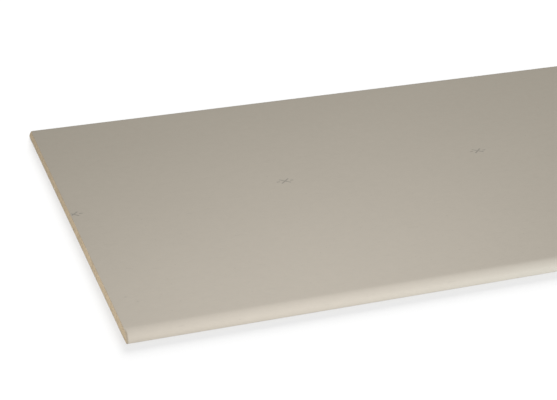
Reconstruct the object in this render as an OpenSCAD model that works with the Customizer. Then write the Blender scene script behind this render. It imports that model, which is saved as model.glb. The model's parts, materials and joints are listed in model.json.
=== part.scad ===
// Drywall sheet with half-round long edges, lying on its back with its face up.
// X runs along the sheet, Y across it and Z out of the face.
// The origin is the middle of the back.

/* [Sheet] */
// Length of the sheet, along its papered edges
sheet_length = 2000; // [1000:10:3000]
// Width of the sheet, across its papered edges
sheet_width = 600; // [300:5:1250]
// Thickness of the sheet over both papers
sheet_thickness = 12.5; // [9.5:0.5:18]

/* [Long edges] */
// Distance from each long edge to where the face starts to round over
round_width = 15; // [11:0.5:22]
// Drop of the round, from the face to the upright foot of the edge
round_drop = 11; // [8:0.5:16]
// Outside radius of the face paper's fold under the foot
fold_radius = 0.8; // [0.8:0.1:3]

/* [Paper] */
// Thickness of the face paper
face_paper_thickness = 0.4; // [0.2:0.05:0.6]
// Thickness of the back paper
back_paper_thickness = 0.4; // [0.2:0.05:0.6]
// Width of face paper turned under the back, from each long edge
turn_under_width = 30; // [20:1:80]
// Distance from each long edge to the edge of the back paper
back_paper_inset = 10; // [4:1:15]

/* [Hidden] */
$fn = 96;

half_width = sheet_width / 2;
// The wrapped board is the core in its face paper, and it sits on the back paper.
wrap_bottom = back_paper_thickness;
fold_centre = [half_width - fold_radius, wrap_bottom + fold_radius];
// The upright foot between a long edge's round and its fold keeps at least this height.
least_foot = 0.2;

// The round is two arcs that share a tangent: a wide shoulder from the face and a tighter nose at the edge.
// They change over where the surface has tilted by the angle of a 3-4-5 triangle.
tilt = [0.6, 0.8];
drop = min(round_drop, sheet_thickness - fold_centre.y - least_foot);
shoulder_radius = 2 * round_width - drop;
nose_radius = (3 * drop - round_width) / 2;
shoulder_centre = [half_width - round_width, sheet_thickness - shoulder_radius];
nose_centre = shoulder_centre + (shoulder_radius - nose_radius) * tilt;

// One rounded long edge of the wrapped board's section, a given depth below its surface.
module edge_round(depth) {
  beyond = nose_centre + 2 * nose_radius * tilt;
  // Shoulder arc, over the line of the nose's centre
  intersection() {
    translate(shoulder_centre) circle(shoulder_radius - depth);
    polygon([
      [shoulder_centre.x, nose_centre.y],
      nose_centre,
      beyond,
      [shoulder_centre.x, beyond.y]
    ]);
  }
  // Nose arc, out to the upright foot
  intersection() {
    translate(nose_centre) circle(nose_radius - depth);
    polygon([
      nose_centre,
      nose_centre + [2 * nose_radius, 0],
      [nose_centre.x + 2 * nose_radius, beyond.y],
      beyond
    ]);
  }
}

// Foot of one long edge in the same section, upright and then folded under the back.
module edge_foot(depth) {
  translate([0, fold_centre.y])
    square([half_width - depth, nose_centre.y - fold_centre.y]);
  translate([0, wrap_bottom + depth])
    square([fold_centre.x, fold_radius - depth]);
  intersection() {
    translate(fold_centre) circle(fold_radius - depth);
    translate([fold_centre.x, wrap_bottom])
      square(fold_radius);
  }
}

// Section of the wrapped board across its width, a given depth below its surface.
module board_section(depth) {
  translate([-shoulder_centre.x, wrap_bottom + depth])
    square([2 * shoulder_centre.x, sheet_thickness - wrap_bottom - 2 * depth]);
  for (side = [0, 1])
    mirror([side, 0]) {
      edge_round(depth);
      edge_foot(depth);
    }
}

// Strip of the section between the two turned-under papers, from the back paper up into the core.
module between_turn_unders() {
  translate([turn_under_width - half_width, wrap_bottom])
    square([sheet_width - 2 * turn_under_width, sheet_thickness / 2]);
}

// Run a section along the sheet from one cut end to the other.
module run_along_sheet() {
  rotate([90, 0, 90])
    linear_extrude(sheet_length, center = true) children();
}

// Cast core, open at both cut ends, with a shallow step where each turned-under paper lies.
module gypsum_core() {
  color([0.71, 0.64, 0.53])
    run_along_sheet() {
      board_section(face_paper_thickness);
      between_turn_unders();
    }
}

// Paper over the face, round both long edges and under the back.
module face_paper() {
  color([0.71, 0.68, 0.62])
    run_along_sheet()
      difference() {
        board_section(0);
        board_section(face_paper_thickness);
        between_turn_unders();
      }
}

// Paper on the back, lapped over both turned-under strips.
module back_paper() {
  color([0.67, 0.62, 0.55])
    run_along_sheet()
      translate([back_paper_inset - half_width, 0])
        square([sheet_width - 2 * back_paper_inset, back_paper_thickness]);
}

gypsum_core();
face_paper();
back_paper();
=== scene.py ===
"""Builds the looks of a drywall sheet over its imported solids: papers, cast core, printed marks, stage."""
import json
import math

import bmesh
import bpy
from mathutils import Matrix, Vector, noise

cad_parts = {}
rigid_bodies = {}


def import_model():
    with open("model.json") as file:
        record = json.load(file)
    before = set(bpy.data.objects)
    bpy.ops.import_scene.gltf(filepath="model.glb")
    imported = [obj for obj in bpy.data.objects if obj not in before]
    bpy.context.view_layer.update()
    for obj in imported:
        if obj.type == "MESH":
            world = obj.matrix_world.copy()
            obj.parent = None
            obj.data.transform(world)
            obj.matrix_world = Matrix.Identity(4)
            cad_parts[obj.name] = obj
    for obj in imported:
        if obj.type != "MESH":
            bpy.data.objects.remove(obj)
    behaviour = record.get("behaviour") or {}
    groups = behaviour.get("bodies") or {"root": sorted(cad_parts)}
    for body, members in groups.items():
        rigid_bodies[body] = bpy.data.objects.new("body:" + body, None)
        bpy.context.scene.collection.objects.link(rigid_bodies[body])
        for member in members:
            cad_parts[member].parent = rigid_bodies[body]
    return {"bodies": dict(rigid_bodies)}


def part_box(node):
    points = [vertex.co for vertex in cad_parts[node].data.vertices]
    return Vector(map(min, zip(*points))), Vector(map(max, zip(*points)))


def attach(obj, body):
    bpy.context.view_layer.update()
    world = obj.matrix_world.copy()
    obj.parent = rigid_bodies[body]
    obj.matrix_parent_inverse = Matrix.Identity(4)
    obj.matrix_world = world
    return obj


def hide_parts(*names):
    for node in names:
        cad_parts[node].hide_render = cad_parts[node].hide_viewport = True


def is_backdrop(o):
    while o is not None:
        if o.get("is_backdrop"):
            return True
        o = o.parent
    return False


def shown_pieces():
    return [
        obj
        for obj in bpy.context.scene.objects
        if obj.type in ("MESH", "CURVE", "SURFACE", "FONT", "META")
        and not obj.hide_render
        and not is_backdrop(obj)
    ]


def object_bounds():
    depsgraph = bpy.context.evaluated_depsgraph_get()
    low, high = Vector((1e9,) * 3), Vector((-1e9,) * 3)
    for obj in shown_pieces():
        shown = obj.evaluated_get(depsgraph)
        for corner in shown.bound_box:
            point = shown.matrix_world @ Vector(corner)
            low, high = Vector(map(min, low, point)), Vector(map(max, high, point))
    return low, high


bl_info = {
    "name": "Drywall Sheet",
    "version": (1, 0, 0),
    "blender": (4, 5, 0),
    "location": "View3D > Sidebar > Drywall",
    "description": "Makes a paper-faced gypsum board with half-round long edges and open cut ends",
    "category": "Add Mesh",
}

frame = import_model()
CAD_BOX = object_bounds()
LOW, HIGH = CAD_BOX
FACE_PAPER_LOW, FACE_PAPER_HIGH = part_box("face_paper")
CORE_LOW, CORE_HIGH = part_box("gypsum_core")
BACK_PAPER_LOW, BACK_PAPER_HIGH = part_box("back_paper")

# The sheet has no joints, so all its pieces ride on one body.
BODY = next(iter(frame["bodies"]))
CORE_PIECE = "cast_gypsum_core"

HALF_LENGTH = HIGH.x
HALF_WIDTH = HIGH.y
THICKNESS = HIGH.z
FACE_PAPER_THICKNESS = FACE_PAPER_HIGH.z - CORE_HIGH.z
BACK_PAPER_THICKNESS = BACK_PAPER_HIGH.z - BACK_PAPER_LOW.z
BACK_PAPER_HALF_WIDTH = BACK_PAPER_HIGH.y
WRAP_BOTTOM = FACE_PAPER_LOW.z
ALONG_SHEET = Vector((1.0, 0.0, 0.0))
QUARTER_TURN = math.pi / 2

# Way that the surface faces where the shoulder of a long edge meets its nose, from a 3-4-5 triangle
CHANGE_TILT = Vector((0.0, 0.6, 0.8))
CHANGE_ANGLE = math.atan2(CHANGE_TILT.y, CHANGE_TILT.z)

# Stretch of the sheet by each cut end over which the lean of the cut dies out
LEAN_STRETCH = 0.02
# Stretch of paper by each cut end that wavers and bends
FRAY_REACH = 0.0015
# Distances from each cut end of the rows of points that let a paper fray
FRAY_ROWS = (0.0006, FRAY_REACH, 0.004)
# Distances from each cut end of the rows that divide the long faces of the face paper
LONG_ROWS = (0.25, 0.6)
# Two small scuffs on the face, as distances along and across the sheet from its near front corner
SCUFFS = ((0.0185, 0.0796), (0.0287, 0.0654))

# Bends up to these angles are shaded smooth.
PAPER_SMOOTH_ANGLE = math.radians(40)
CORE_SMOOTH_ANGLE = math.radians(60)
# Place of the cut edges' material among a paper's materials
CUT_EDGE_MATERIAL = 1
MERGE_DISTANCE = 1e-6

WHITE = (1.0, 1.0, 1.0)
NOISE_MIDDLE = 0.5
# Sockets of a colour Mix node, by number because several of its sockets share a name
MIX_SHARE = 0
MIX_FIRST_COLOUR = 6
MIX_SECOND_COLOUR = 7
MIX_RESULT_COLOUR = 2


class SheetSizes(bpy.types.PropertyGroup):
    """Sizes of the long edges, papers, cut ends and marks."""

    round_width: bpy.props.FloatProperty(
        name="Round Width",
        description="Distance from a long edge to where the face starts to round over",
        default=0.015,
        unit="LENGTH",
    )
    round_drop: bpy.props.FloatProperty(
        name="Round Drop",
        description="Drop of the round from the face to the upright foot of the edge",
        default=0.011,
        unit="LENGTH",
    )
    fold_radius: bpy.props.FloatProperty(
        name="Fold Radius",
        description="Outside radius of the face paper's fold under the foot",
        default=0.0008,
        unit="LENGTH",
    )
    turn_under: bpy.props.FloatProperty(
        name="Turn Under",
        description="Width of face paper turned under the back, from the long edge",
        default=0.030,
        unit="LENGTH",
    )
    fray: bpy.props.FloatProperty(
        name="Paper Fray",
        description="How far the papers' cut edges waver back from the cut",
        default=0.0007,
        unit="LENGTH",
    )
    cut_lean: bpy.props.FloatProperty(
        name="Cut Lean",
        description="How far the cut ends lean back at the face, from the back's full length",
        default=0.0011,
        unit="LENGTH",
    )
    cut_twist: bpy.props.FloatProperty(
        name="Cut Twist",
        description="Share of the lean that is lost at one long edge and gained at the other",
        default=0.35,
        subtype="FACTOR",
    )
    corner_bruise: bpy.props.FloatProperty(
        name="Corner Bruise",
        description="Push on the near cut end's worn far corner, at the tip that it would have if square",
        default=0.0032,
        unit="LENGTH",
    )
    crumble: bpy.props.FloatProperty(
        name="Core Crumble",
        description="Rough depth to which the core's cut faces are broken",
        default=0.0006,
        unit="LENGTH",
    )
    mark_pitch: bpy.props.FloatProperty(
        name="Mark Pitch",
        description="Distance from one printed fixing mark to the next",
        default=0.2784,
        unit="LENGTH",
    )
    mark_start: bpy.props.FloatProperty(
        name="First Mark",
        description="Distance from the near cut end to the middle of the first mark",
        default=0.0053,
        unit="LENGTH",
    )
    mark_offset: bpy.props.FloatProperty(
        name="Mark Offset",
        description="Distance of the row of marks from the sheet's centreline, at the near cut end",
        default=0.0047,
        unit="LENGTH",
    )
    mark_drift: bpy.props.FloatProperty(
        name="Mark Drift",
        description="How far the row of marks moves across the sheet, as a share of its length along it",
        default=0.0365,
    )
    ink_film: bpy.props.FloatProperty(
        name="Ink Film",
        description="Height of the printed ink over the paper",
        default=0.00004,
        unit="LENGTH",
    )


class SheetColours(bpy.types.PropertyGroup):
    """Colours of the sheet's papers, core and ink."""

    face_paper: bpy.props.FloatVectorProperty(
        name="Face Paper",
        description="Mean colour of the face paper",
        subtype="COLOR",
        default=(0.458, 0.4115, 0.329),
    )
    back_paper: bpy.props.FloatVectorProperty(
        name="Back Paper",
        description="Mean colour of the back paper",
        subtype="COLOR",
        default=(0.40, 0.345, 0.265),
    )
    cut_paper: bpy.props.FloatVectorProperty(
        name="Cut Paper",
        description="Colour of the papers' cut edges and torn plies",
        subtype="COLOR",
        default=(0.26, 0.205, 0.13),
    )
    core: bpy.props.FloatVectorProperty(
        name="Core",
        description="Mean colour of the gypsum at the cut ends",
        subtype="COLOR",
        default=(0.458, 0.364, 0.240),
    )
    ink: bpy.props.FloatVectorProperty(
        name="Ink",
        description="Colour of the printed marks",
        subtype="COLOR",
        default=(0.29, 0.27, 0.227),
    )


class Value:
    """One value of a material's node tree, for plain arithmetic on it."""

    def __init__(self, finish, socket):
        self.finish = finish
        self.socket = socket

    def combine(self, operation, first, second):
        """Work out an operation on two values or numbers."""
        return self.finish.value("ShaderNodeMath", 0, {"operation": operation}, {0: first, 1: second})

    def __add__(self, other):
        return self.combine("ADD", self, other)

    def __radd__(self, other):
        return self.combine("ADD", other, self)

    def __sub__(self, other):
        return self.combine("SUBTRACT", self, other)

    def __rsub__(self, other):
        return self.combine("SUBTRACT", other, self)

    def __mul__(self, other):
        return self.combine("MULTIPLY", self, other)

    def __rmul__(self, other):
        return self.combine("MULTIPLY", other, self)


class Finish:
    """A material under construction, with its Principled surface."""

    def __init__(self, name, specular):
        self.material = bpy.data.materials.new(name)
        self.material.use_nodes = True
        self.tree = self.material.node_tree
        self.surface = self.tree.nodes["Principled BSDF"]
        self.fill(self.surface.inputs["Specular IOR Level"], specular)
        self.place = self.node("ShaderNodeTexCoord").outputs["Object"]

    def node(self, kind, settings=None, inputs=None):
        """Add a node, make its settings, then fill or link its sockets."""
        node = self.tree.nodes.new(kind)
        for name, setting in (settings or {}).items():
            setattr(node, name, setting)
        for name, value in (inputs or {}).items():
            self.fill(node.inputs[name], value)
        return node

    def value(self, kind, output, settings=None, inputs=None):
        """Add a node and give one of its outputs as a value."""
        return Value(self, self.node(kind, settings, inputs).outputs[output])

    def fill(self, socket, value):
        """Link a socket to a value or another socket, or set it to a number, vector or colour."""
        if isinstance(value, Value):
            value = value.socket
        if isinstance(value, bpy.types.NodeSocket):
            self.tree.links.new(value, socket)
        else:
            socket.default_value = value

    def stretched(self, stretch):
        """The piece's own coordinates, stretched along each axis."""
        mapping = self.node("ShaderNodeMapping", None, {"Vector": self.place, "Scale": stretch})
        return mapping.outputs["Vector"]

    def speckle(self, size, detail, stretch=(1.0, 1.0, 1.0)):
        """Soft noise from 0 to 1 with features of a given size."""
        inputs = {"Vector": self.stretched(stretch), "Scale": 1.0 / size, "Detail": detail}
        return self.value("ShaderNodeTexNoise", "Fac", None, inputs)

    def cells(self, size, stretch=(1.0, 1.0, 1.0)):
        """Distance to the nearest of many scattered points, in sizes."""
        inputs = {"Vector": self.stretched(stretch), "Scale": 1.0 / size}
        return self.value("ShaderNodeTexVoronoi", "Distance", None, inputs)

    def near(self, place, reach):
        """1 at a place on the piece, easing down to 0 at a reach from it."""
        settings = {"operation": "DISTANCE"}
        gap = self.value("ShaderNodeVectorMath", "Value", settings, {0: self.place, 1: place})
        return self.ease(gap, low=reach, high=0.0)

    def ease(self, value, low, high):
        """Turn a value into a smooth 0 to 1 between two limits, which may run downwards."""
        settings = {"interpolation_type": "SMOOTHSTEP"}
        inputs = {"Value": value, "From Min": low, "From Max": high}
        return self.value("ShaderNodeMapRange", "Result", settings, inputs)

    def along(self, axis):
        """One of the piece's own coordinates."""
        return self.value("ShaderNodeSeparateXYZ", axis, None, {"Vector": self.place})

    def absolute(self, value):
        """A value without its sign."""
        return self.value("ShaderNodeMath", 0, {"operation": "ABSOLUTE"}, {0: value})

    def blend(self, share, first, second):
        """Mix two colours by a share."""
        inputs = {MIX_SHARE: share, MIX_FIRST_COLOUR: first, MIX_SECOND_COLOUR: second}
        return self.node("ShaderNodeMix", {"data_type": "RGBA"}, inputs).outputs[MIX_RESULT_COLOUR]

    def stain(self, ground, mask, strength, colour):
        """Lay a colour over a ground where a mask says, at a given strength."""
        return self.blend(strength * mask, ground, colour)

    def paint(self, colour):
        """Set the surface's colour."""
        self.fill(self.surface.inputs["Base Color"], colour)

    def roughen(self, roughness):
        """Set how dull the surface is."""
        self.fill(self.surface.inputs["Roughness"], roughness)

    def emboss(self, height, depth):
        """Let a height pattern tilt the surface."""
        bump = self.node("ShaderNodeBump", None, {"Height": height, "Distance": depth})
        self.fill(self.surface.inputs["Normal"], bump.outputs["Normal"])

    def glow(self, strength):
        """Let the surface give off white light."""
        self.fill(self.surface.inputs["Emission Color"], shade(WHITE))
        self.fill(self.surface.inputs["Emission Strength"], strength)


def shade(colour, factor=1.0):
    """A colour made darker or lighter, opaque."""
    return tuple(factor * part for part in colour) + (1.0,)


def layered(base, *layers):
    """A base moved up and down by noise layers, each given with its contrast."""
    for layer, contrast in layers:
        base = base + contrast * (layer - NOISE_MIDDLE)
    return base


def cut_setback(sizes, across, height):
    """How far a leaning cut end is set back at a place across the sheet and a height."""
    return (sizes.cut_lean / THICKNESS) * height * (1 + (sizes.cut_twist / HALF_WIDTH) * across)


def torn_plies(finish, sizes, ragged):
    """Share of a paper's brown inner plies: a ragged band by each cut end, faint except at the corners."""
    band_full = 0.0008
    band_end = 0.0022
    raggedness = 0.0012
    corner_start = HALF_WIDTH - 0.014
    corner_full = HALF_WIDTH - 0.006
    corner_growth = 0.0008
    plain_strength = 0.06
    corner_strength = 0.65
    leaned = cut_setback(sizes, finish.along("Y"), finish.along("Z"))
    from_cut = HALF_LENGTH - finish.absolute(finish.along("X")) - leaned
    corners = finish.ease(finish.absolute(finish.along("Y")), low=corner_start, high=corner_full)
    wavering = layered(from_cut, (ragged, raggedness)) - corner_growth * corners
    band = finish.ease(wavering, low=band_end, high=band_full)
    return band * (plain_strength + corner_strength * corners)


def paper_finish(name, colour, torn, sizes, fibre_contrast, scuffs=()):
    """Grey recycled paper: clouds, fibres along the sheet, flecks, hairs, scuffs and torn plies."""
    dull_roughness = 0.84
    fibre_sheen = 0.12
    mottle_relief = 0.6
    finish = Finish(name, specular=0.25)
    clouds = finish.speckle(size=0.16, detail=2.0)
    mottle = finish.speckle(size=0.012, detail=3.0)
    fibres = finish.speckle(size=0.0011, detail=4.0, stretch=(0.22, 1.0, 1.0))
    ragged = finish.speckle(size=0.0016, detail=2.0)
    tone = layered(NOISE_MIDDLE, (clouds, 0.25), (mottle, 0.35), (fibres, fibre_contrast))
    ground = finish.blend(tone, shade(colour, 0.93), shade(colour, 1.07))
    scattered = finish.cells(size=0.009, stretch=(0.7, 1.0, 1.0))
    flecks = finish.ease(layered(scattered, (ragged, 0.22)), low=0.07, high=0.02)
    ground = finish.stain(ground, flecks, strength=0.30, colour=shade(colour, 0.45))
    streaks = finish.speckle(size=0.0022, detail=1.0, stretch=(0.09, 1.0, 1.0))
    hairs = finish.ease(streaks, low=0.70, high=0.78)
    ground = finish.stain(ground, hairs, strength=0.10, colour=shade(colour, 0.5))
    for place in scuffs:
        scuff = finish.near(place, reach=0.0035)
        ground = finish.stain(ground, scuff, strength=0.16, colour=shade(colour, 0.45))
    finish.paint(finish.blend(torn_plies(finish, sizes, ragged), ground, shade(torn)))
    finish.roughen(dull_roughness - fibre_sheen * fibres)
    finish.emboss(fibres + mottle_relief * mottle, depth=0.00006)
    return finish.material


def cut_paper_finish(colour):
    """Torn fibres at a paper's cut edge."""
    finish = Finish("cut_paper_edge", specular=0.1)
    fibres = finish.speckle(size=0.0006, detail=3.0)
    finish.paint(finish.blend(fibres, shade(colour, 0.7), shade(colour, 1.3)))
    finish.roughen(0.95)
    finish.emboss(fibres, depth=0.0001)
    return finish.material


def core_finish(colour):
    """Foamed gypsum: grains, uneven pores darkened with painted shade, paler crumbs and darker patches."""
    fine_pore_share = 0.6
    crumb_height = 0.7
    pore_depth = 0.8
    finish = Finish("foamed_gypsum", specular=0.15)
    patches = finish.speckle(size=0.02, detail=2.0)
    lumps = finish.speckle(size=0.0045, detail=3.0)
    grains = finish.speckle(size=0.0008, detail=4.0)
    tone = layered(NOISE_MIDDLE, (patches, 0.9), (lumps, 1.1), (grains, 0.8))
    ground = finish.blend(tone, shade(colour, 0.8), shade(colour, 1.2))
    unevenness = ((lumps, 0.55), (grains, 0.35))
    coarse_pores = finish.ease(layered(finish.cells(size=0.0034), *unevenness), low=0.20, high=0.08)
    fine_pores = finish.ease(layered(finish.cells(size=0.0012), *unevenness), low=0.26, high=0.12)
    pores = coarse_pores + fine_pore_share * fine_pores
    # Painted shade: the pores' hollows are coloured darker than the gypsum around them.
    ground = finish.stain(ground, pores, strength=0.38, colour=shade(colour, 0.5))
    crumbs = finish.ease(finish.speckle(size=0.0024, detail=2.0), low=0.64, high=0.74)
    finish.paint(finish.stain(ground, crumbs, strength=0.6, colour=shade(colour, 1.35)))
    finish.roughen(0.92)
    finish.emboss(grains + crumb_height * crumbs - pore_depth * pores, depth=0.0003)
    return finish.material


def ink_finish(colour, paper):
    """Thin grey ink that lets the paper's fibres through."""
    finish = Finish("printed_ink", specular=0.25)
    fibres = finish.speckle(size=0.0012, detail=3.0, stretch=(0.3, 1.0, 1.0))
    cover = finish.ease(fibres, low=0.30, high=0.62)
    finish.paint(finish.blend(cover, shade(paper, 0.72), shade(colour)))
    finish.roughen(0.75)
    return finish.material


class EdgeSection:
    """The shoulder, nose and fold of one long edge, seen along the sheet, at a depth under the surface."""

    def __init__(self, sizes, depth):
        self.depth = depth
        # Two arcs that change over at the tilt take up the round's width and drop with these radii alone.
        self.shoulder_radius = 2 * sizes.round_width - sizes.round_drop
        self.nose_radius = (3 * sizes.round_drop - sizes.round_width) / 2
        self.fold_radius = sizes.fold_radius
        shoulder_height = THICKNESS - self.shoulder_radius
        self.shoulder_centre = Vector((0.0, HALF_WIDTH - sizes.round_width, shoulder_height))
        self.nose_centre = self.shoulder_centre + (self.shoulder_radius - self.nose_radius) * CHANGE_TILT
        self.fold_centre = Vector((0.0, HALF_WIDTH - sizes.fold_radius, WRAP_BOTTOM + sizes.fold_radius))

    def heights(self, arc_steps):
        """Heights of a ladder up the section, close together where it curves."""
        nose_sweep = QUARTER_TURN - CHANGE_ANGLE
        nose_reach = self.nose_radius - self.depth
        shoulder_reach = self.shoulder_radius - self.depth
        steps = [step / arc_steps for step in range(arc_steps + 1)]
        foot = [WRAP_BOTTOM + self.depth, self.fold_centre.z]
        nose = [self.nose_centre.z + nose_reach * math.sin(nose_sweep * step) for step in steps]
        tilts = [nose_sweep + CHANGE_ANGLE * step for step in steps[1:]]
        shoulder = [self.shoulder_centre.z + shoulder_reach * math.sin(tilt) for tilt in tilts]
        return foot + nose + shoulder

    def half_width(self, height):
        """Half of the section's width at a height."""
        change = self.nose_centre.z + (self.nose_radius - self.depth) * CHANGE_TILT.z
        if height > change:
            centre, radius = self.shoulder_centre, self.shoulder_radius
        elif height > self.nose_centre.z:
            centre, radius = self.nose_centre, self.nose_radius
        elif height > self.fold_centre.z:
            return HALF_WIDTH - self.depth
        else:
            centre, radius = self.fold_centre, self.fold_radius
        inside = (radius - self.depth) ** 2 - (height - centre.z) ** 2
        return centre.y + math.sqrt(max(0.0, inside))


def finished_object(name, bm, materials, smooth_angle, replaced=None):
    """Turn a bmesh into a smooth-shaded piece that rides on the sheet."""
    mesh = bpy.data.meshes.new(name)
    bm.to_mesh(mesh)
    bm.free()
    for material in materials:
        mesh.materials.append(material)
    mesh.shade_smooth()
    mesh.set_sharp_from_angle(angle=smooth_angle)
    piece = bpy.data.objects.new(name, mesh)
    bpy.context.scene.collection.objects.link(piece)
    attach(piece, BODY)
    if replaced:
        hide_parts(replaced)


def everything(bm):
    """All of a mesh, for an operator to work on."""
    return bm.verts[:] + bm.edges[:] + bm.faces[:]


def verts_in(geometry):
    """The vertices among what an operator made."""
    return [part for part in geometry if isinstance(part, bmesh.types.BMVert)]


def extrude_point(bm, vert, step):
    """Draw an edge from a vertex and return its new end."""
    made = bmesh.ops.extrude_vert_indiv(bm, verts=[vert])
    end = made["verts"][0]
    bmesh.ops.translate(bm, verts=[end], vec=step)
    return end


def spin_point(bm, vert, centre, angle, steps):
    """Draw an arc from a vertex about an axis along the sheet and return its new end."""
    made = bmesh.ops.spin(bm, geom=[vert], cent=centre, axis=ALONG_SHEET, angle=angle, steps=steps)
    return verts_in(made["geom_last"])[0]


def draw_wrap(bm, section, turn_under, columns, arc_steps):
    """Draw the face paper's line across half of the sheet, from the centreline to its turned-under edge."""
    start = bm.verts.new((0.0, 0.0, THICKNESS - section.depth))
    shoulder_top = extrude_point(bm, start, Vector((0.0, section.shoulder_centre.y, 0.0)))
    nose_top = spin_point(bm, shoulder_top, section.shoulder_centre, -CHANGE_ANGLE, arc_steps)
    foot_top = spin_point(bm, nose_top, section.nose_centre, CHANGE_ANGLE - QUARTER_TURN, arc_steps)
    foot_drop = section.fold_centre.z - section.nose_centre.z
    fold_top = extrude_point(bm, foot_top, Vector((0.0, 0.0, foot_drop)))
    under = spin_point(bm, fold_top, section.fold_centre, -QUARTER_TURN, arc_steps // 2)
    extrude_point(bm, under, Vector((0.0, section.fold_radius - turn_under, 0.0)))
    flat = max(bm.edges, key=lambda edge: edge.calc_length())
    bmesh.ops.subdivide_edges(bm, edges=[flat], cuts=columns)


def cut_rows(bm, distances):
    """Cut the sheet across at distances from both cut ends."""
    for end in (-1, 1):
        for distance in distances:
            spot = end * (HALF_LENGTH - distance) * ALONG_SHEET
            bmesh.ops.bisect_plane(bm, geom=everything(bm), plane_co=spot, plane_no=ALONG_SHEET)


def lean_ends(bm, sizes):
    """Lean both cut ends back towards the face, over a short stretch of the sheet."""
    for vert in bm.verts:
        nearness = max(0.0, 1 - (HALF_LENGTH - abs(vert.co.x)) / LEAN_STRETCH)
        setback = nearness * cut_setback(sizes, vert.co.y, vert.co.z)
        vert.co.x -= math.copysign(setback, vert.co.x)


def bruise_corner(bm, depth):
    """Push back the near cut end where it meets the far long edge, less and less down to the back."""
    reach = 0.02
    corner = Vector((-HALF_LENGTH, HALF_WIDTH, THICKNESS))
    for vert in bm.verts:
        nearness = max(0.0, 1 - (vert.co - corner).length / reach)
        vert.co.x += depth * nearness * vert.co.z / THICKNESS


def unsigned_noise(spot):
    """Soft noise from about 0 to 1 at a spot."""
    return 0.5 + 0.5 * noise.noise(spot)


def fray_ends(bm, fray, curl):
    """Let a paper's cut ends waver back from the cut and bend a little towards the core."""
    waver_scale = Vector((2.0, 90.0, 90.0))
    fine_scale = 6.0
    least_share = 0.25
    coarse_share = 0.5
    fine_share = 0.25
    bm.normal_update()
    for vert in bm.verts:
        gap = HALF_LENGTH - abs(vert.co.x)
        if gap > FRAY_REACH:
            continue
        nearness = (1 - gap / FRAY_REACH) ** 2
        spot = waver_scale * vert.co
        coarse = unsigned_noise(spot)
        fine = unsigned_noise(fine_scale * spot)
        back = fray * (least_share + coarse_share * coarse + fine_share * fine)
        vert.co -= vert.normal * curl * nearness
        vert.co.x -= math.copysign(back * nearness, vert.co.x)


class DRYWALL_OT_face_paper(bpy.types.Operator):
    """Make the face paper, wrapped round both long edges and turned under the back"""

    bl_idname = "drywall.face_paper"
    bl_label = "Face Paper"

    def execute(self, context):
        sizes = context.scene.drywall_sizes
        colours = context.scene.drywall_colours
        # Faces that look this much along the sheet are the paper's cut edges.
        end_facing = 0.7
        section = EdgeSection(sizes, depth=sizes.ink_film)
        bm = bmesh.new()
        draw_wrap(bm, section, sizes.turn_under, columns=110, arc_steps=14)
        unturned = Matrix.Identity(4)
        bmesh.ops.mirror(bm, geom=everything(bm), matrix=unturned, merge_dist=MERGE_DISTANCE, axis="Y")
        bmesh.ops.translate(bm, verts=bm.verts, vec=-HALF_LENGTH * ALONG_SHEET)
        ran = bmesh.ops.extrude_edge_only(bm, edges=bm.edges[:])
        bmesh.ops.translate(bm, verts=verts_in(ran["geom"]), vec=2 * HALF_LENGTH * ALONG_SHEET)
        cut_rows(bm, FRAY_ROWS + (LEAN_STRETCH,) + LONG_ROWS)
        bmesh.ops.recalc_face_normals(bm, faces=bm.faces)
        top = max(bm.faces, key=lambda face: face.calc_center_median().z)
        if top.normal.z < 0:
            bmesh.ops.reverse_faces(bm, faces=bm.faces)
        fray_ends(bm, sizes.fray, curl=0.00012)
        bmesh.ops.solidify(bm, geom=bm.faces[:], thickness=FACE_PAPER_THICKNESS - sizes.ink_film)
        lean_ends(bm, sizes)
        bruise_corner(bm, sizes.corner_bruise)
        bm.normal_update()
        for face in bm.faces:
            if abs(face.normal.x) > end_facing:
                face.material_index = CUT_EDGE_MATERIAL
        near_corner = Vector((-HALF_LENGTH, -HALF_WIDTH, THICKNESS))
        scuffs = [near_corner + Vector((along, across, 0.0)) for along, across in SCUFFS]
        torn = colours.cut_paper
        papers = [
            paper_finish("face_paper", colours.face_paper, torn, sizes, fibre_contrast=0.5, scuffs=scuffs),
            cut_paper_finish(torn),
        ]
        finished_object(
            "face_paper_wrap", bm, papers, PAPER_SMOOTH_ANGLE, replaced="face_paper"
        )
        return {"FINISHED"}


def break_ends(bm, section, crumble):
    """Break the core's two cut faces: grains, burst bubbles and a crumbled line against the papers."""
    grain_scale = 1400.0
    lump_scale = 160.0
    bubble_pitch = 0.0022
    # A bubble's radius, as a share of the pitch
    bubble_radius = 0.35
    rim_reach = 0.0012
    grain_share = 0.25
    lump_share = 0.35
    bubble_share = 0.6
    rim_share = 0.7
    for vert in bm.verts:
        spot = vert.co.copy()
        grains = unsigned_noise(grain_scale * spot)
        lumps = unsigned_noise(lump_scale * spot)
        nearest = noise.voronoi(spot / bubble_pitch)[0][0]
        bubble = max(0.0, 1 - nearest / bubble_radius)
        to_rim = min(section.half_width(spot.z) - abs(spot.y), CORE_HIGH.z - spot.z, spot.z - CORE_LOW.z)
        rim = max(0.0, 1 - to_rim / rim_reach)
        broken = grain_share * grains + lump_share * lumps + bubble_share * bubble + rim_share * rim * lumps
        vert.co.x -= math.copysign(crumble * broken, vert.co.x)


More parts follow.
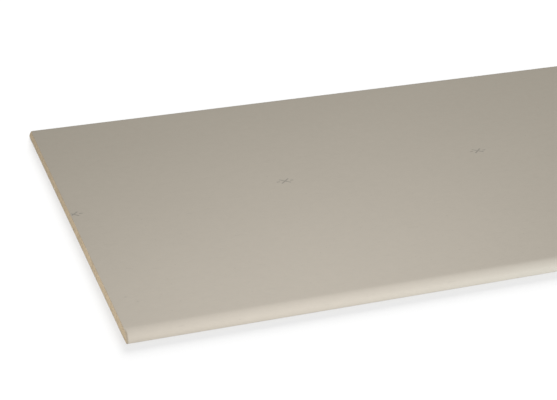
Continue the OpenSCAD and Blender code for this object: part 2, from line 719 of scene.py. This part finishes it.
class DRYWALL_OT_gypsum_core(bpy.types.Operator):
    """Make the cast core, with broken grains and pores on its two cut ends"""

    bl_idname = "drywall.gypsum_core"
    bl_label = "Gypsum Core"

    def execute(self, context):
        sizes = context.scene.drywall_sizes
        colours = context.scene.drywall_colours
        section = EdgeSection(sizes, depth=FACE_PAPER_THICKNESS)
        heights = section.heights(arc_steps=9)
        columns = 1000
        top_row = len(heights) - 1
        # Between the turned-under strips, and one column clear of them, the core lies on the back paper.
        step_place = HALF_WIDTH - sizes.turn_under - 2 * HALF_WIDTH / columns
        bm = bmesh.new()
        # The grid runs from -0.5 to 0.5 both ways, and then takes the section's widths and heights.
        bmesh.ops.create_grid(bm, x_segments=columns, y_segments=top_row, size=0.5)
        for vert in bm.verts:
            row = round((vert.co.y + 0.5) * top_row)
            height = heights[row]
            across = 2 * vert.co.x * section.half_width(height)
            if row == 0 and abs(across) < step_place:
                height = CORE_LOW.z
            vert.co = Vector((HALF_LENGTH, across, height))
        near = bmesh.ops.duplicate(bm, geom=everything(bm))
        bmesh.ops.translate(bm, verts=verts_in(near["geom"]), vec=-2 * HALF_LENGTH * ALONG_SHEET)
        rims = [edge for edge in bm.edges if edge.is_boundary]
        bmesh.ops.bridge_loops(bm, edges=rims)
        bmesh.ops.recalc_face_normals(bm, faces=bm.faces)
        break_ends(bm, section, sizes.crumble)
        lean_ends(bm, sizes)
        bruise_corner(bm, sizes.corner_bruise)
        gypsum = core_finish(colours.core)
        finished_object(
            CORE_PIECE, bm, [gypsum], CORE_SMOOTH_ANGLE, replaced="gypsum_core"
        )
        return {"FINISHED"}


class DRYWALL_OT_back_paper(bpy.types.Operator):
    """Make the back paper, lapped over the turned-under strips of the face paper"""

    bl_idname = "drywall.back_paper"
    bl_label = "Back Paper"

    def execute(self, context):
        sizes = context.scene.drywall_sizes
        colours = context.scene.drywall_colours
        # The lap's edges wander in by up to this much, in waves along the sheet.
        wander = 0.00025
        wave_scale = Vector((24.0, 3.0, 0.0))
        # Faces that look up or down less than this are the paper's cut edges.
        flat_facing = 0.5
        bm = bmesh.new()
        bmesh.ops.create_grid(bm, x_segments=160, y_segments=120, size=1.0)
        for vert in bm.verts:
            half = BACK_PAPER_HALF_WIDTH - wander * unsigned_noise(wave_scale * vert.co)
            vert.co = Vector((HALF_LENGTH * vert.co.x, half * vert.co.y, BACK_PAPER_LOW.z))
        cut_rows(bm, FRAY_ROWS)
        bmesh.ops.reverse_faces(bm, faces=bm.faces)
        fray_ends(bm, sizes.fray, curl=0.0)
        bmesh.ops.solidify(bm, geom=bm.faces[:], thickness=BACK_PAPER_THICKNESS)
        bm.normal_update()
        for face in bm.faces:
            if abs(face.normal.z) < flat_facing:
                face.material_index = CUT_EDGE_MATERIAL
        papers = [
            paper_finish("back_paper", colours.back_paper, colours.cut_paper, sizes, fibre_contrast=0.8),
            cut_paper_finish(colours.cut_paper),
        ]
        finished_object(
            "back_paper_sheet", bm, papers, PAPER_SMOOTH_ANGLE, replaced="back_paper"
        )
        return {"FINISHED"}


def add_dash(bm, middle, length, width):
    """Add one printed dash along the sheet."""
    shaped = Matrix.Translation(middle) @ Matrix.Diagonal((length, width, 1.0, 1.0))
    bmesh.ops.create_grid(bm, x_segments=1, y_segments=1, size=0.5, matrix=shaped)


def add_cross(bm, middle, length, width):
    """Add a printed diagonal cross in one piece: a small square with an arm drawn out of each side."""
    turned = Matrix.Translation(middle) @ Matrix.Rotation(QUARTER_TURN / 2, 4, "Z")
    made = bmesh.ops.create_grid(bm, x_segments=1, y_segments=1, size=width / 2, matrix=turned)
    for side in made["verts"][0].link_faces[0].edges[:]:
        outward = (side.verts[0].co + side.verts[1].co) / 2 - middle
        drawn = bmesh.ops.extrude_edge_only(bm, edges=[side])
        arm = outward.normalized() * (length - width) / 2
        bmesh.ops.translate(bm, verts=verts_in(drawn["geom"]), vec=arm)


def blur_print(bm, wobble):
    """Give printed strokes slightly uneven edges."""
    waver_scale = 900.0
    other_waver = Vector((7.0, 0.0, 0.0))
    bmesh.ops.subdivide_edges(bm, edges=bm.edges[:], cuts=4, use_grid_fill=True)
    for vert in bm.verts:
        spot = waver_scale * vert.co
        vert.co.x += wobble * noise.noise(spot)
        vert.co.y += wobble * noise.noise(spot + other_waver)


class DRYWALL_OT_fixing_marks(bpy.types.Operator):
    """Print a row of plain fixing marks along the face: a small cross between two dashes"""

    bl_idname = "drywall.fixing_marks"
    bl_label = "Fixing Marks"

    def execute(self, context):
        sizes = context.scene.drywall_sizes
        colours = context.scene.drywall_colours
        cross_length = 0.017
        dash_length = 0.0044
        dash_place = 0.0092
        stroke_width = 0.0019
        wobble_share = 0.12
        # The ink stops short of the near cut end, clear of its lean and by this many frays.
        frays_clear = 2.4
        ink_start = sizes.cut_lean + frays_clear * sizes.fray - HALF_LENGTH
        paper_top = THICKNESS - sizes.ink_film
        marks = int((2 * HALF_LENGTH - sizes.mark_start) / sizes.mark_pitch) + 1
        bm = bmesh.new()
        for mark in range(marks):
            along = sizes.mark_start + mark * sizes.mark_pitch
            across = sizes.mark_offset + sizes.mark_drift * along
            middle = Vector((along - HALF_LENGTH, across, paper_top))
            add_cross(bm, middle, cross_length, stroke_width)
            for side in (-1, 1):
                add_dash(bm, middle + side * dash_place * ALONG_SHEET, dash_length, stroke_width)
        blur_print(bm, wobble_share * stroke_width)
        bmesh.ops.bisect_plane(
            bm,
            geom=everything(bm),
            plane_co=ink_start * ALONG_SHEET,
            plane_no=-ALONG_SHEET,
            clear_outer=True,
        )
        bmesh.ops.solidify(bm, geom=bm.faces[:], thickness=-sizes.ink_film)
        bmesh.ops.recalc_face_normals(bm, faces=bm.faces)
        ink = ink_finish(colours.ink, colours.face_paper)
        finished_object("printed_fixing_marks", bm, [ink], PAPER_SMOOTH_ANGLE)
        return {"FINISHED"}


def add_lamp(name, kind, place, target, lit, **settings):
    """Add a lamp that points at a target and lights some pieces alone."""
    lamp = bpy.data.lights.new(name, kind)
    for setting, value in settings.items():
        setattr(lamp, setting, value)
    light = bpy.data.objects.new(name, lamp)
    light.location = place
    light.rotation_euler = (target - place).to_track_quat("-Z", "Y").to_euler()
    light.visible_camera = False
    bpy.context.scene.collection.objects.link(light)
    lit_pieces = bpy.data.collections.new("lit_by_" + name)
    for piece in lit:
        lit_pieces.objects.link(piece)
    light.light_linking.receiver_collection = lit_pieces


def add_softbox(name, place, target, lit, width, height, spread, energy, tint=WHITE):
    """Add a rectangular lamp whose light spreads over an angle in degrees."""
    add_lamp(
        name,
        "AREA",
        place,
        target,
        lit,
        shape="RECTANGLE",
        size=width,
        size_y=height,
        spread=math.radians(spread),
        energy=energy,
        color=tint,
    )


def add_sun(name, place, lit, angle, energy):
    """Add a far lamp that shines from a place towards the origin, as wide as an angle in degrees."""
    add_lamp(name, "SUN", place, Vector(), lit, angle=math.radians(angle), energy=energy)


class DRYWALL_OT_stage(bpy.types.Operator):
    """Set the pale floor, the soft studio light and the camera"""

    bl_idname = "drywall.stage"
    bl_label = "Stage"

    def execute(self, context):
        scene = context.scene
        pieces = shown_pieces()
        floor = self.make_floor()
        scene.world = self.make_world()
        self.light_sheet(pieces)
        self.light_floor(floor)
        scene.camera = self.make_camera()
        scene.view_settings.view_transform = "Standard"
        return {"FINISHED"}

    def make_floor(self):
        """A wide pale floor that glows faintly, a hair under the sheet so that they don't share a plane."""
        hair = 0.00005
        reach = 20.0
        paint_grey = 0.35
        glow_strength = 0.31
        below = Matrix.Translation((0.0, 0.0, LOW.z - hair))
        bm = bmesh.new()
        bmesh.ops.create_grid(bm, x_segments=1, y_segments=1, size=reach, matrix=below)
        mesh = bpy.data.meshes.new("pale_floor")
        bm.to_mesh(mesh)
        bm.free()
        finish = Finish("pale_floor", specular=0.0)
        finish.paint(shade(WHITE, paint_grey))
        finish.roughen(0.9)
        finish.glow(glow_strength)
        mesh.materials.append(finish.material)
        floor = bpy.data.objects.new("pale_floor", mesh)
        bpy.context.scene.collection.objects.link(floor)
        floor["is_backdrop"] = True
        return floor

    def make_world(self):
        """An even white room."""
        room_strength = 0.56
        world = bpy.data.worlds.new("soft_room")
        world.use_nodes = True
        background = world.node_tree.nodes["Background"]
        background.inputs["Color"].default_value = shade(WHITE)
        background.inputs["Strength"].default_value = room_strength
        return world

    def light_sheet(self, pieces):
        """Slightly cool softboxes for the sheet, and a low white one for the core's near cut end."""
        add_softbox(
            "front_softbox",
            place=Vector((-1.24, -1.08, 0.70)),
            target=Vector((-0.37, 0.30, 0.0)),
            lit=pieces,
            width=0.4,
            height=0.2,
            spread=75,
            energy=2.93,
            tint=(0.975, 1.0, 1.13),
        )
        add_softbox(
            "low_strip_light",
            place=Vector((-0.23, -1.66, 0.057)),
            target=Vector((0.01, 0.22, 0.0)),
            lit=pieces,
            width=0.8,
            height=0.1,
            spread=45,
            energy=1.09,
            tint=(0.83, 1.03, 1.25),
        )
        add_softbox(
            "far_softbox",
            place=Vector((-0.20, -1.80, 0.84)),
            target=Vector((0.98, 0.40, 0.0)),
            lit=pieces,
            width=1.3,
            height=0.3,
            spread=31,
            energy=2.17,
            tint=(0.95, 1.0, 1.04),
        )
        add_softbox(
            "low_end_light",
            place=Vector((-2.20, -0.60, 0.08)),
            target=Vector((-1.00, -0.15, 0.0)),
            lit=[bpy.data.objects[CORE_PIECE]],
            width=0.2,
            height=0.1,
            spread=40,
            energy=0.157,
        )

    def light_floor(self, floor):
        """Two wide suns that leave the sheet's soft shadows on the floor, before and behind it."""
        add_sun("floor_fill", place=Vector((-0.35, -1.0, 0.54)), lit=[floor], angle=25, energy=6.16)
        add_sun("floor_back", place=Vector((0.260, 0.963, 0.350)), lit=[floor], angle=21, energy=5.79)

    def make_camera(self):
        """The viewing angle: low over the near front corner, looking along the sheet."""
        near_corner = Vector((-HALF_LENGTH, -HALF_WIDTH, 0.0))
        eye_from_corner = Vector((-0.2669, -1.3059, 0.7896))
        turn = Matrix.Rotation(math.radians(-18.475), 3, "Z")
        tilt = Matrix.Rotation(math.radians(64.838), 3, "X")
        roll = Matrix.Rotation(math.radians(-0.116), 3, "Z")
        camera = bpy.data.cameras.new("viewpoint")
        camera.sensor_fit = "HORIZONTAL"
        camera.sensor_width = 36.0
        camera.lens = 94.12
        viewpoint = bpy.data.objects.new("viewpoint", camera)
        viewpoint.location = near_corner + eye_from_corner
        viewpoint.rotation_euler = (turn @ tilt @ roll).to_euler()
        bpy.context.scene.collection.objects.link(viewpoint)
        return viewpoint


class DRYWALL_PT_sheet(bpy.types.Panel):
    """Sidebar panel of the sheet's sizes, colours and pieces"""

    bl_label = "Drywall Sheet"
    bl_space_type = "VIEW_3D"
    bl_region_type = "UI"
    bl_category = "Drywall"

    def draw(self, context):
        for group in (context.scene.drywall_sizes, context.scene.drywall_colours):
            for name in group.__annotations__:
                self.layout.prop(group, name)
        for operator in OPERATORS:
            self.layout.operator(operator.bl_idname)


OPERATORS = (
    DRYWALL_OT_face_paper,
    DRYWALL_OT_gypsum_core,
    DRYWALL_OT_back_paper,
    DRYWALL_OT_fixing_marks,
    DRYWALL_OT_stage,
)
CLASSES = (SheetSizes, SheetColours) + OPERATORS + (DRYWALL_PT_sheet,)


def register():
    for kind in CLASSES:
        bpy.utils.register_class(kind)
    bpy.types.Scene.drywall_sizes = bpy.props.PointerProperty(type=SheetSizes)
    bpy.types.Scene.drywall_colours = bpy.props.PointerProperty(type=SheetColours)


def unregister():
    del bpy.types.Scene.drywall_colours
    del bpy.types.Scene.drywall_sizes
    for kind in reversed(CLASSES):
        bpy.utils.unregister_class(kind)


def main():
    register()
    bpy.ops.drywall.face_paper()
    bpy.ops.drywall.gypsum_core()
    bpy.ops.drywall.back_paper()
    bpy.ops.drywall.fixing_marks()
    bpy.ops.drywall.stage()


if __name__ == "__main__":
    main()
